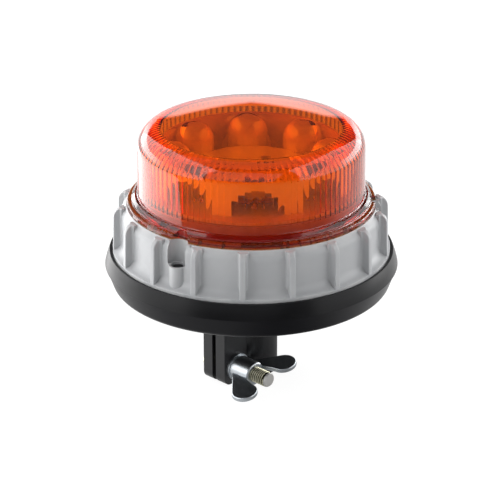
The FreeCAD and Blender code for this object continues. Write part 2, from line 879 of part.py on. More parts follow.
def make_terminal_block():
    """Two-way terminal block under the driver board for the supply leads."""
    middle = terminal_offset + terminal_length / 2
    return block(terminal_length, terminal_width, terminal_bottom(), driver_bottom, 0, middle)


def make_contact_carrier():
    """Insulating cup above the socket: a spigot through the floor, a flange and a spring tower."""
    hole = plunger_diameter / 2 + plunger_fit
    spigot = contact_hole_radius - carrier_fit
    flange_top = floor_top + carrier_flange
    cup = turned([
        (hole, carrier_bottom, 0),
        (spigot, carrier_bottom, 0),
        (spigot, floor_top, 0),
        (carrier_flange_radius, floor_top, 0),
        (carrier_flange_radius, flange_top, carrier_flange / 3),
        (carrier_tower_radius, flange_top, 0),
        (carrier_tower_radius, tower_top, 0),
        (chamber_radius, tower_top, 0),
        (chamber_radius, chamber_bottom, 0),
        (hole, chamber_bottom, 0),
    ])
    slot = block(
        2 * earth_tab_fit + earth_ring_thickness, earth_tab_width + 2 * earth_tab_fit,
        floor_top, flange_top, earth_tab_x())
    return spun(cup.cut([slot] + carrier_screw_holes(floor_top, flange_top)), clamp_turn)


def make_carrier_screw():
    """Small screw through the contact carrier into the stem, with the disc's floor held between them."""
    flange_top = floor_top + carrier_flange
    head_radius = carrier_screw_head_diameter / 2
    shank_radius = carrier_screw_diameter / 2
    return turned([
        (0, floor_top - carrier_screw_depth, 0),
        (shank_radius, floor_top - carrier_screw_depth, 0),
        (shank_radius, flange_top, 0),
        (head_radius, flange_top, 0),
        (head_radius, flange_top + carrier_screw_head, carrier_screw_head / 2),
        (0, flange_top + carrier_screw_head, 0),
    ])


def make_centre_contact():
    """Spring-loaded plunger that meets the pole's live contact."""
    radius = plunger_diameter / 2
    collar = plunger_collar_diameter / 2
    pilot = plunger_pilot_diameter / 2
    tip = carrier_bottom - plunger_reach
    return turned([
        (0, tip, 0),
        (radius, tip, plunger_tip_round),
        (radius, collar_bottom, 0),
        (collar, collar_bottom, 0),
        (collar, collar_top, 0),
        (pilot, collar_top, 0),
        (pilot, collar_top + plunger_pilot, 0),
        (0, collar_top + plunger_pilot, 0),
    ])


def make_contact_spring():
    """Compression spring between the plunger's collar and the live terminal."""
    wire_radius = spring_wire / 2
    start = collar_top + wire_radius + seat_gap
    length = tower_top - wire_radius - seat_gap - start
    path = Part.makeHelix(length / spring_turns, length, spring_radius)
    section = Part.Wire(Part.makeCircle(wire_radius, Vector(spring_radius, 0, 0), Vector(0, 1, 0)))
    coil = Part.Wire(path.Edges).makePipeShell([section], True, True)
    return coil.translated(Vector(0, 0, start))


def make_live_terminal():
    """Brass cap that closes the spring tower, with a solder tag for the positive lead."""
    cap = rod(carrier_tower_radius - cap_overhang, tower_top, tower_top + cap_thickness)
    tag = block(cap_thickness, tag_width, tower_top, tower_top + cap_thickness + tag_height,
                carrier_tower_radius - cap_overhang - cap_thickness)
    return spun(cap.fuse(tag), clamp_turn)


def make_earth_contact():
    """Ring at the top of the socket that meets the pole's rim, with a tab up through the floor."""
    ring = rod(earth_seat_radius - earth_ring_fit, pole_depth, earth_ring_top).cut(
        rod(contact_hole_radius, pole_depth, earth_ring_top))
    tab = block(earth_ring_thickness, earth_tab_width,
                pole_depth, earth_ring_top + earth_tab_height, earth_tab_x())
    return spun(ring.fuse(tab), clamp_turn)


def lead(points, bend):
    """Insulated lead along straight runs joined by tangent bends."""
    edges = []
    start = points[0]
    for before, corner, after in zip(points, points[1:], points[2:]):
        back = (before - corner).normalize()
        ahead = (after - corner).normalize()
        half_angle = back.getAngle(ahead) / 2
        cut = bend / math.tan(half_angle)
        inward = (back + ahead).normalize()
        middle = corner + inward * (bend / math.sin(half_angle) - bend)
        edges.append(Part.LineSegment(start, corner + back * cut).toShape())
        edges.append(Part.Arc(corner + back * cut, middle, corner + ahead * cut).toShape())
        start = corner + ahead * cut
    edges.append(Part.LineSegment(start, points[-1]).toShape())
    direction = points[1] - points[0]
    section = Part.Wire(Part.makeCircle(lead_diameter / 2, points[0], direction))
    return Part.Wire(edges).makePipeShell([section], True, False)


def lead_from(tab_end, terminal_x):
    """Lead from above a solder tab up to one way of the terminal block."""
    end = Vector(terminal_x, terminal_offset + terminal_length / 2, terminal_bottom())
    rise = (end.z - tab_end.z) / 3
    return lead([tab_end, tab_end + UP * rise, end - UP * rise, end], min(lead_bend, rise / 2))


def make_positive_lead():
    """Lead from the live terminal's tag to the terminal block."""
    tag_x = carrier_tower_radius - cap_overhang - cap_thickness
    tag_end = on_circle(tag_x, clamp_turn) + UP * (tower_top + cap_thickness + tag_height)
    return lead_from(tag_end, -terminal_width / 4)


def make_earth_lead():
    """Lead from the earth tab to the terminal block."""
    tab_end = on_circle(earth_tab_x(), clamp_turn) + UP * (earth_ring_top + earth_tab_height)
    return lead_from(tab_end, terminal_width / 4)


def bolt_seat():
    """Place of the face under the bolt's head, along the bolt from the stem's middle plane."""
    return -ear_face + hex_pocket_depth


def make_clamp_bolt():
    """Hexagon bolt through both ears, its head held in the far ear's pocket."""
    end = bolt_seat() + bolt_length
    radius = bolt_diameter / 2
    shank = turned([
        (0, bolt_seat() - hex_height / 2, 0),
        (radius, bolt_seat() - hex_height / 2, 0),
        (radius, end - bolt_end_chamfer, 0),
        (radius - bolt_end_chamfer, end, 0),
        (0, end, 0),
    ])
    return along_bolt(hexagon(hex_flats, bolt_seat() - hex_height, bolt_seat()).fuse(shank))


def make_clamp_washer():
    """Plain washer between the near ear and the wing nut."""
    bottom = ear_face + seat_gap
    top = bottom + washer_thickness
    hole = rod(bolt_diameter / 2 + washer_fit, bottom, top)
    return along_bolt(rod(washer_diameter / 2, bottom, top).cut(hole))


def wing(root, bottom, top):
    """One flat wing along +X: a round lobe on a web that leans out from the hub's root radius."""
    lobe_radius = wing_lobe / 2
    lobe = Vector(wing_span / 2 - lobe_radius, 0, bottom + wing_height - lobe_radius)
    foot = Vector(root, 0, bottom + nut_height / 8)
    reach = lobe - foot
    lean = math.atan2(reach.z, reach.x) - math.asin(lobe_radius / reach.Length)
    run = math.sqrt(reach.Length ** 2 - lobe_radius ** 2)
    touch = foot + Vector(math.cos(lean), 0, math.sin(lean)) * run
    web = upright([
        (0, foot.z, 0),
        (foot.x, foot.z, 0),
        (touch.x, touch.z, 0),
        (lobe.x - lobe_radius, lobe.z, 0),
        (root, top, 0),
        (0, top, 0),
    ], wing_thickness)
    half = Vector(0, wing_thickness / 2, 0)
    disc = Part.makeCylinder(lobe_radius, wing_thickness, lobe - half, Vector(0, 1, 0))
    plate = disc.fuse(web).removeSplitter()
    edges = [
        edge for edge in plate.Edges
        if edge.BoundBox.YLength < wing_edge_round and edge.BoundBox.XMax > root + wing_edge_round
    ]
    return plate.makeFillet(wing_edge_round, edges)


def make_wing_nut():
    """Wing nut with a slightly tapered hub and two rounded wings that spread away from the stem."""
    bottom = ear_face + washer_thickness + 2 * seat_gap
    top = bottom + nut_height
    root_radius = nut_base_diameter / 2
    top_radius = nut_top_diameter / 2
    hub = turned([
        (0, bottom, 0),
        (root_radius, bottom, 0),
        (root_radius, bottom + nut_height / 8, 0),
        (top_radius, top, top_radius / 6),
        (0, top, 0),
    ])
    one_wing = wing(top_radius, bottom, top - top_radius / 6)
    wings = [spun(one_wing, angle) for angle in (wing_rest_turn, wing_rest_turn + 180)]
    bore = rod(bolt_diameter / 2 + nut_fit, bottom, top)
    return along_bolt(hub.fuse(wings).cut(bore))


def numbered(name, shapes):
    """Names for the copies of a repeated piece."""
    return {f"{name}_{number}": shape for number, shape in enumerate(shapes, 1)}


def make_parts():
    """Every piece of the beacon by its name."""
    parts = {
        "lens_dome": make_lens_dome(),
        "lens_seal": make_lens_seal(),
        "housing": make_housing(),
        "base_rim": make_base_rim(),
        "mount_base": make_mount_base(),
        "pole_clamp": make_pole_clamp(),
        "thermal_pad": make_thermal_pad(),
        "led_board": make_led_board(),
        "reflector_crown": make_reflector_crown(),
        "board_link": make_board_link(),
        "driver_board": make_driver_board(),
        "inductor": make_inductor(),
        "controller_chip": make_controller_chip(),
        "power_switch": make_power_switch(),
        "terminal_block": make_terminal_block(),
        "contact_carrier": make_contact_carrier(),
        "centre_contact": make_centre_contact(),
        "contact_spring": make_contact_spring(),
        "live_terminal": make_live_terminal(),
        "earth_contact": make_earth_contact(),
        "positive_lead": make_positive_lead(),
        "earth_lead": make_earth_lead(),
        "clamp_bolt": make_clamp_bolt(),
        "clamp_washer": make_clamp_washer(),
        "wing_nut": make_wing_nut(),
    }
    carrier_screws = [
        spun(make_carrier_screw().translated(Vector(0, side, 0)), clamp_turn)
        for side in (-carrier_screw_circle, carrier_screw_circle)
    ]
    capacitors = [spun(make_capacitor(), angle) for angle in (-capacitor_angle, capacitor_angle)]
    parts.update(numbered("housing_screw", ring_of(make_housing_screw(), screw_count, screw_angle)))
    parts.update(numbered("led", ring_of(make_led(), reflector_count, first_reflector_angle)))
    parts.update(numbered("unit_screw", ring_of(make_unit_screw(), unit_screw_count, unit_screw_angle)))
    parts.update(numbered("standoff", ring_of(make_standoff(), standoff_count, standoff_angle)))
    parts.update(numbered("driver_screw", ring_of(make_driver_screw(), standoff_count, standoff_angle)))
    parts.update(numbered("capacitor", capacitors))
    parts.update(numbered("carrier_screw", carrier_screws))
    return parts


def main():
    os.makedirs("parts", exist_ok=True)
    for name, shape in make_parts().items():
        shape.exportStep(f"parts/{name}.step")
        print(f"{name}: {len(shape.Solids)} solid, {shape.Volume:.1f} mm3, valid {shape.isValid()}")


main()
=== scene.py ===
import json
import math

import bpy
from mathutils import Matrix, Vector


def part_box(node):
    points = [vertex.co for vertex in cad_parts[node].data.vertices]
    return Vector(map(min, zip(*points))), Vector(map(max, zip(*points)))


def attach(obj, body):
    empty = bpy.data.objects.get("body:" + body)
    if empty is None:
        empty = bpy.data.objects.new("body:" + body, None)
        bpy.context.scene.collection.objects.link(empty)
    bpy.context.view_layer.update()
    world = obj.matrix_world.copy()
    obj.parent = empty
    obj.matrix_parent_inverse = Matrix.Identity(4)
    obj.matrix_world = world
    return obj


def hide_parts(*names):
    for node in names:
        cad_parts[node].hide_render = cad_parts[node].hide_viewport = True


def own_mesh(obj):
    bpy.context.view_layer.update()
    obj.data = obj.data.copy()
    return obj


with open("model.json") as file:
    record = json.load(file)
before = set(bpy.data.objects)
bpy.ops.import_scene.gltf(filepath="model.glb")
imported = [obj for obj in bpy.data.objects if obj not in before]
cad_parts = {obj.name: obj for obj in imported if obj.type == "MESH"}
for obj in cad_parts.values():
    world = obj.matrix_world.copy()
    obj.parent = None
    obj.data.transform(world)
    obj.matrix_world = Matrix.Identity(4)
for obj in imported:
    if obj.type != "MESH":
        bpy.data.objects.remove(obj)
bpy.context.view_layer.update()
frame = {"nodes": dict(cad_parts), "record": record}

MM = 0.001

# Clamp: the bolt lies square to the ears, on the near side of the stem
CLAMP_TURN = math.radians(226)
BOLT_OFFSET = 19.1 * MM
BOLT_HEIGHT = 9.0 * MM
BOLT_SEAT = -5.15 * MM
BOLT_LENGTH = 36.5 * MM
BOLT_RADIUS = 4.0 * MM
BOLT_TIP = 0.8 * MM
HEX_FLATS = 13.0 * MM
HEX_HEIGHT = 5.3 * MM
THREAD_PITCH = 1.25 * MM
THREAD_LENGTH = 24.0 * MM

# Shares of the bolt's radius: plain shank, and end of the tip
SHANK_SHARE = 0.97
TIP_SHARE = 0.84

# Cone that turns off the head's corners, as shares of the width across flats
BEVEL_FACE_SHARE = 0.475
BEVEL_SEAT_SHARE = 1.18

# Spring of the centre contact
SPRING_RADIUS = 3.4 * MM
SPRING_WIRE = 0.7 * MM
SPRING_TURNS = 5

# Fineness of the grown pieces, and the angle past which an edge stays sharp
ROUND_SIDES = 96
THREAD_STEPS = 64
SPRING_STEPS = 48
WIRE_SIDES = 12
CREASE_ANGLE = math.radians(32)

# Circle of the reflectors' mouths and the strip where the finish changes, in millimetres
BOWL_MOUTH = 46.5
MOUTH_STRIP = 0.4

# Lamps: middle, point that it faces, width and height in metres, power in watts
LAMPS = {
    "left_panel": ((-0.9, 0.48, 0.9), (0, 0.48, 0.9), 2.66, 1.8, 36.0),
    "right_panel": ((0.9, 0.25, 0.8), (0, 0.25, 0.8), 2.2, 1.6, 20.0),
    "top_panel": ((0, 0.25, 1.3), (0, 0.25, 0), 1.6, 1.2, 1.2),
    "front_panel": ((-0.4, -1.25, 0.9), (0, 0, 0.08), 2.6, 1.4, 7.2),
    "left_card": ((-0.4, 0.16, 0.002), (-0.4, 0.16, 1), 0.46, 0.56, 2.0),
}

# Floor: half its width, and its level just under the stem
FLOOR_REACH = 8.0
FLOOR_LEVEL = -0.4 * MM

# Photographed view
CAMERA_LOOK = Vector((0, 0, 0.061))
CAMERA_ELEVATION = math.radians(23.75)
CAMERA_DISTANCE = 1.070
CAMERA_LENS = 147.92
CAMERA_SENSOR = 36.0
CAMERA_SHIFT = (-0.0028, 0.02046)
CAMERA_RANGE = (0.05, 50.0)


def feed(tree, socket, value):
    """Sets an input to a value, or links it from another node's socket."""
    if isinstance(value, bpy.types.NodeSocket):
        tree.links.new(value, socket)
    else:
        socket.default_value = value


def new_node(tree, kind, settings=None, **inputs):
    """A node with its properties and inputs, where i0, i1 and so on stand for inputs by number."""
    node = tree.nodes.new(kind)
    for name, value in (settings or {}).items():
        setattr(node, name, value)
    for name, value in inputs.items():
        key = int(name[1:]) if name[0] == "i" and name[1:].isdigit() else name.replace("_", " ")
        feed(tree, node.inputs[key], value)
    return node


def dress(tree, shader, **inputs):
    """A shader's inputs set to values or linked from other nodes' sockets."""
    for name, value in inputs.items():
        feed(tree, shader.inputs[name.replace("_", " ")], value)


def start_finish(name):
    """Empty material with a Principled shader, and the piece's own coordinates in millimetres."""
    material = bpy.data.materials.new(name)
    material.use_nodes = True
    tree = material.node_tree
    tree.nodes.clear()
    shader = new_node(tree, "ShaderNodeBsdfPrincipled")
    new_node(tree, "ShaderNodeOutputMaterial", None, Surface=shader.outputs[0])
    place = new_node(tree, "ShaderNodeTexCoord").outputs["Object"]
    scaled = new_node(tree, "ShaderNodeVectorMath", {"operation": "SCALE"}, i0=place, Scale=1 / MM)
    return material, tree, shader, scaled.outputs[0]


def calc(tree, operation, first, second=0.0):
    """Result of one sum on numbers or sockets."""
    return new_node(tree, "ShaderNodeMath", {"operation": operation}, i0=first, i1=second).outputs[0]


def flattened(tree, place):
    """A place without its height, and its distance from the upright axis."""
    flat = new_node(tree, "ShaderNodeVectorMath", {"operation": "MULTIPLY"}, i0=place, i1=(1, 1, 0))
    distance = new_node(tree, "ShaderNodeVectorMath", {"operation": "LENGTH"}, i0=flat.outputs[0])
    return flat.outputs[0], distance.outputs["Value"]


def noise(tree, place, size, detail=4.0, roughness=0.55):
    """Soft noise whose features are about size millimetres across."""
    return new_node(tree, "ShaderNodeTexNoise", None, Vector=place, Scale=1 / size, Detail=detail,
                    Roughness=roughness).outputs["Fac"]


def spread(tree, value, low, high, start=0.3, end=0.7, curve="LINEAR"):
    """Value between start and end carried over to low and high."""
    return new_node(tree, "ShaderNodeMapRange", {"interpolation_type": curve}, Value=value,
                    From_Min=start, From_Max=end, To_Min=low, To_Max=high).outputs[0]


def blend(tree, share, first, second):
    """Colour between two colours or sockets."""
    mix = new_node(tree, "ShaderNodeMix", {"data_type": "RGBA"}, i0=share, i6=first, i7=second)
    return mix.outputs[2]


def dent(tree, height, depth, normal=None):
    """Bump whose height of 1 stands for depth millimetres, on top of another bump if there is one."""
    node = new_node(tree, "ShaderNodeBump", None, Height=height, Distance=depth * MM, Strength=1.0)
    if normal:
        tree.links.new(normal, node.inputs["Normal"])
    return node.outputs[0]


def rgb(red, green, blue):
    """Opaque colour."""
    return (red, green, blue, 1.0)


def grey(level):
    """Opaque grey, or a plain number for a socket that mixes colours."""
    return rgb(level, level, level)


def shade(colour, factor):
    """Colour made darker or paler by a factor."""
    return tuple(min(1.0, part * factor) for part in colour[:3]) + (1.0,)


def moulded(name, colour, gloss=(0.42, 0.52), grain=0.35, depth=0.012, specular=0.4):
    """Moulded plastic or rubber with a fine spark-eroded grain and slightly uneven gloss and tone."""
    material, tree, shader, place = start_finish(name)
    cloud = noise(tree, place, size=14.0)
    fine = noise(tree, place, size=grain, detail=3.0)
    tone = blend(tree, spread(tree, cloud, 0, 1), shade(colour, 0.88), shade(colour, 1.12))
    dress(tree, shader, Base_Color=tone, Roughness=spread(tree, cloud, *gloss),
          Normal=dent(tree, fine, depth), Specular_IOR_Level=specular)
    return material


def plated(name, colour, dark, gloss=(0.28, 0.38), grain=1.2, depth=0.01):
    """Plated or drawn metal with a faint mottled bloom and fine marks."""
    material, tree, shader, place = start_finish(name)
    bloom = noise(tree, place, size=3.5, detail=5.0)
    marks = noise(tree, place, size=grain, detail=6.0, roughness=0.7)
    dress(tree, shader, Base_Color=blend(tree, spread(tree, bloom, 0, 1), dark, colour),
          Roughness=spread(tree, marks, *gloss), Normal=dent(tree, marks, depth), Metallic=1.0)
    return material


def circuit_board(name, mask, track):
    """Solder mask over faint straight copper tracks."""
    material, tree, shader, place = start_finish(name)
    bricks = new_node(tree, "ShaderNodeTexBrick", {"offset": 0.35}, Vector=place, Scale=0.22,
                      Mortar_Size=0.035, Mortar_Smooth=0.1)
    tracks = bricks.outputs["Fac"]
    cloud = noise(tree, place, size=9.0)
    tone = blend(tree, tracks, mask, track)
    tone = blend(tree, spread(tree, cloud, 0, 0.25), tone, shade(mask, 0.8))
    dress(tree, shader, Base_Color=tone, Roughness=spread(tree, cloud, 0.3, 0.42),
          Normal=dent(tree, tracks, depth=0.03))
    return material


def cast_grey_coat():
    """Satin grey coat on a die casting: soft orange-peel surface, and a paler tone on the high spots."""
    material, tree, shader, place = start_finish("cast_grey_coat")
    cloud = noise(tree, place, size=22.0)
    peel = noise(tree, place, size=0.9, detail=2.0)
    grain = noise(tree, place, size=0.22, detail=2.0)
    pointed = new_node(tree, "ShaderNodeNewGeometry").outputs["Pointiness"]
    high_spots = spread(tree, pointed, 0, 1, start=0.52, end=0.6)
    tone = blend(tree, spread(tree, cloud, 0, 1), rgb(0.36, 0.368, 0.38), rgb(0.41, 0.417, 0.425))
    # paler tone on the convex edges and high spots
    tone = blend(tree, high_spots, tone, rgb(0.48, 0.487, 0.49))
    coarse = dent(tree, peel, depth=0.02)
    dress(tree, shader, Base_Color=tone, Roughness=spread(tree, cloud, 0.36, 0.46),
          Normal=dent(tree, grain, 0.006, coarse), Specular_IOR_Level=0.5)
    return material


def amber_lens_glass():
    """Clear amber moulding, red where it is thick, that lets the lamps light what it covers."""
    material, tree, shader, place = start_finish("amber_lens_glass")
    ripple = noise(tree, place, size=9.0, detail=2.0)
    speck = noise(tree, place, size=0.7, detail=2.0)
    dress(tree, shader, Base_Color=rgb(0.99, 0.97, 0.94), Transmission_Weight=1.0, IOR=1.49,
          Roughness=spread(tree, speck, 0.0, 0.012), Normal=dent(tree, ripple, depth=0.01))
    rays = new_node(tree, "ShaderNodeLightPath").outputs
    passing = calc(tree, "MAXIMUM", rays["Is Shadow Ray"], rays["Is Diffuse Ray"])
    clear = new_node(tree, "ShaderNodeBsdfTransparent", None, Color=rgb(1.0, 0.995, 0.99))
    mixed = new_node(tree, "ShaderNodeMixShader", None, i0=passing, i1=shader.outputs[0],
                     i2=clear.outputs[0])
    body = new_node(tree, "ShaderNodeVolumeAbsorption", None, Color=rgb(0.978, 0.75, 0.12), Density=1100.0)
    dress(tree, tree.nodes["Material Output"], Surface=mixed.outputs[0], Volume=body.outputs[0])
    return material


def reflector_silver():
    """Metallised plastic: mirror inside the bowls, silver backs, and a pale satin front wall."""
    material, tree, shader, place = start_finish("reflector_silver")
    ripple = noise(tree, place, size=4.0, detail=2.0)
    haze = noise(tree, place, size=1.1)
    flat, distance = flattened(tree, place)
    normal = new_node(tree, "ShaderNodeNewGeometry").outputs["Normal"]
    outwards = new_node(tree, "ShaderNodeVectorMath", {"operation": "DOT_PRODUCT"}, i0=normal, i1=flat)
    facing = spread(tree, outwards.outputs["Value"], 0, 1, start=0.0, end=2.0)
    within = spread(tree, distance, 1, 0, start=BOWL_MOUTH - MOUTH_STRIP, end=BOWL_MOUTH - MOUTH_STRIP / 2)
    bowl = calc(tree, "MULTIPLY", facing, within)
    tone = blend(tree, spread(tree, haze, 0, 1), grey(0.96), rgb(0.99, 0.99, 0.98))
    satin = spread(tree, haze, 0.46, 0.56)
    bright = blend(tree, bowl, spread(tree, haze, 0.29, 0.35), grey(0.12))
    metal = spread(tree, bowl, 0.35, 1.0, start=0.0, end=1.0)
    dress(tree, shader, Base_Color=tone, Roughness=blend(tree, within, satin, bright),
          Metallic=blend(tree, within, grey(0.0), metal), Normal=dent(tree, ripple, depth=0.04))
    return material


def bolt_zinc():
    """Yellow-passivated zinc with painted shade, near-black, in the thread's roots, and grey and dull on the
    sheared tip.
    """
    material, tree, shader, place = start_finish("bolt_zinc")
    bloom = noise(tree, place, size=3.5, detail=5.0)
    marks = noise(tree, place, size=1.2, detail=6.0, roughness=0.7)
    root = new_node(tree, "ShaderNodeAttribute", {"attribute_name": "thread_root_shade"}).outputs["Fac"]
    tip = new_node(tree, "ShaderNodeAttribute", {"attribute_name": "sheared_tip"}).outputs["Fac"]
    tone = blend(tree, spread(tree, bloom, 0, 1), rgb(0.82, 0.79, 0.57), rgb(0.95, 0.92, 0.7))
    # painted shade: the thread's roots turn near-black with their depth below the crest
    tone = blend(tree, spread(tree, root, 0, 1, start=0.2, end=0.5), tone, rgb(0.02, 0.019, 0.012))
    tone = blend(tree, tip, tone, rgb(0.6, 0.59, 0.575))
    rough = blend(tree, tip, spread(tree, marks, 0.29, 0.4), grey(0.55))
    dress(tree, shader, Base_Color=tone, Roughness=rough, Normal=dent(tree, marks, depth=0.01), Metallic=1.0)
    return material


FINISHES = {
    "amber_lens": amber_lens_glass(),
    "cast_grey": cast_grey_coat(),
    "reflector_silver": reflector_silver(),
    "seal_rubber": moulded("seal_rubber", grey(0.05), gloss=(0.6, 0.75)),
    "rim_rubber": moulded("rim_rubber", rgb(0.0045, 0.0045, 0.0055), gloss=(0.28, 0.34), grain=0.5,
                          depth=0.008, specular=0.18),
    "base_black": moulded("base_black", rgb(0.003, 0.003, 0.0045), gloss=(0.28, 0.34), grain=0.4,
                          depth=0.01, specular=0.11),
    "pad_grey": moulded("pad_grey", rgb(0.4, 0.42, 0.45), gloss=(0.7, 0.8)),
    "board_white": circuit_board("board_white", rgb(0.72, 0.72, 0.7), rgb(0.62, 0.62, 0.58)),
    "board_green": circuit_board("board_green", rgb(0.02, 0.16, 0.05), rgb(0.04, 0.26, 0.09)),
    "part_black": moulded("part_black", grey(0.02), gloss=(0.5, 0.6), grain=0.25),
    "ferrite_dark": moulded("ferrite_dark", rgb(0.05, 0.05, 0.055), gloss=(0.6, 0.8), grain=0.6, depth=0.03),
    "terminal_green": moulded("terminal_green", rgb(0.04, 0.3, 0.1), gloss=(0.3, 0.4)),
    "carrier_black": moulded("carrier_black", grey(0.03), gloss=(0.45, 0.6)),
    "lead_red": moulded("lead_red", rgb(0.5, 0.02, 0.015), gloss=(0.35, 0.45), grain=0.8),
    "lead_brown": moulded("lead_brown", rgb(0.12, 0.045, 0.015), gloss=(0.35, 0.45), grain=0.8),
    "led_yellow": moulded("led_yellow", rgb(0.85, 0.6, 0.08), gloss=(0.2, 0.3), grain=0.3),
    "contact_brass": plated("contact_brass", rgb(0.8, 0.58, 0.24), rgb(0.62, 0.42, 0.16)),
    "spring_steel": plated("spring_steel", rgb(0.62, 0.62, 0.63), rgb(0.48, 0.48, 0.49)),
    "bolt_zinc": bolt_zinc(),
    "nut_zinc": plated("nut_zinc", rgb(0.52, 0.55, 0.57), rgb(0.44, 0.47, 0.5), gloss=(0.28, 0.36),
                       grain=2.5, depth=0.003),
    "screw_black": plated("screw_black", rgb(0.045, 0.045, 0.05), rgb(0.02, 0.02, 0.022), gloss=(0.35, 0.5)),
    "screw_steel": plated("screw_steel", rgb(0.56, 0.56, 0.58), rgb(0.42, 0.42, 0.44)),
    "can_aluminium": plated("can_aluminium", rgb(0.74, 0.75, 0.77), rgb(0.62, 0.63, 0.65)),
}

# The stem gets a paler and shinier copy of the disc's black, though both share a slot; its paler colour is
# painted light for the stem in the disc's shade
STEM_BLACK_LIT_COPY = moulded("stem_black_lit_copy", rgb(0.01, 0.01, 0.0115), gloss=(0.3, 0.4), grain=0.4, specular=0.4)

for subpart in frame["record"]["subparts"]:
    finish = STEM_BLACK_LIT_COPY if subpart["node"] == "pole_clamp" else FINISHES[subpart["material_slot"]]
    mesh = frame["nodes"][subpart["node"]].data
    mesh.materials.clear()
    mesh.materials.append(finish)


def grow_tree(name, sizes):
    """Empty geometry tree with one named input for each size, and the sockets that give the sizes."""
    tree = bpy.data.node_groups.new(name, "GeometryNodeTree")
    tree.interface.new_socket("Geometry", in_out="OUTPUT", socket_type="NodeSocketGeometry")
    for label in sizes:
        tree.interface.new_socket(label, in_out="INPUT", socket_type="NodeSocketFloat")
    return tree, tree.nodes.new("NodeGroupInput").outputs


def close_tree(tree, geometry, material):
    """Ends a tree in realized geometry, smooth but for its sharp edges, with its material set."""
    real = new_node(tree, "GeometryNodeRealizeInstances", None, Geometry=geometry)
    smooth = new_node(tree, "GeometryNodeSetShadeSmooth", {"domain": "FACE"}, Geometry=real.outputs[0])
    angle = new_node(tree, "GeometryNodeInputMeshEdgeAngle").outputs["Unsigned Angle"]
    sharp = new_node(tree, "FunctionNodeCompare", {"data_type": "FLOAT", "operation": "GREATER_THAN"},
                     i0=angle, i1=CREASE_ANGLE)
    creased = new_node(tree, "GeometryNodeSetShadeSmooth", {"domain": "EDGE"}, Geometry=smooth.outputs[0],
                       Selection=sharp.outputs[0], Shade_Smooth=False)
    painted = new_node(tree, "GeometryNodeSetMaterial", None, Geometry=creased.outputs[0], Material=material)
    output = tree.nodes.new("NodeGroupOutput")
    tree.links.new(painted.outputs[0], output.inputs[0])


def grown(tree, name, sizes, place):
    """Plain mesh object made by a geometry tree, with its place in the mesh."""
    seed = bpy.data.objects.new(name + "_seed", bpy.data.meshes.new(name + "_seed"))
    bpy.context.scene.collection.objects.link(seed)
    modifier = seed.modifiers.new("grow", "NODES")
    modifier.node_group = tree
    for item in tree.interface.items_tree:
        if item.in_out == "INPUT":
            modifier[item.identifier] = sizes[item.name]
    result = seed.evaluated_get(bpy.context.evaluated_depsgraph_get())
    mesh = bpy.data.meshes.new_from_object(result)
    mesh.name = name
    seed.modifiers.remove(modifier)
    bpy.data.objects.remove(seed)
    mesh.transform(place)
    piece = bpy.data.objects.new(name, mesh)
    bpy.context.scene.collection.objects.link(piece)
    return piece


def gathered(tree, kind, socket, pieces, settings=None):
    """One node that takes several pieces in the same socket."""
    node = new_node(tree, kind, settings)
    for piece in pieces:
        tree.links.new(piece.outputs[0], node.inputs[socket])
    return node


def along_bolt():
    """Place of a shape built about +Z with its zero on the stem's middle plane."""
    turn = Matrix.Rotation(CLAMP_TURN, 4, "Z")
    shift = Matrix.Translation((BOLT_OFFSET, 0, BOLT_HEIGHT))
    return turn @ shift @ Matrix.Rotation(math.radians(-90), 4, "X")


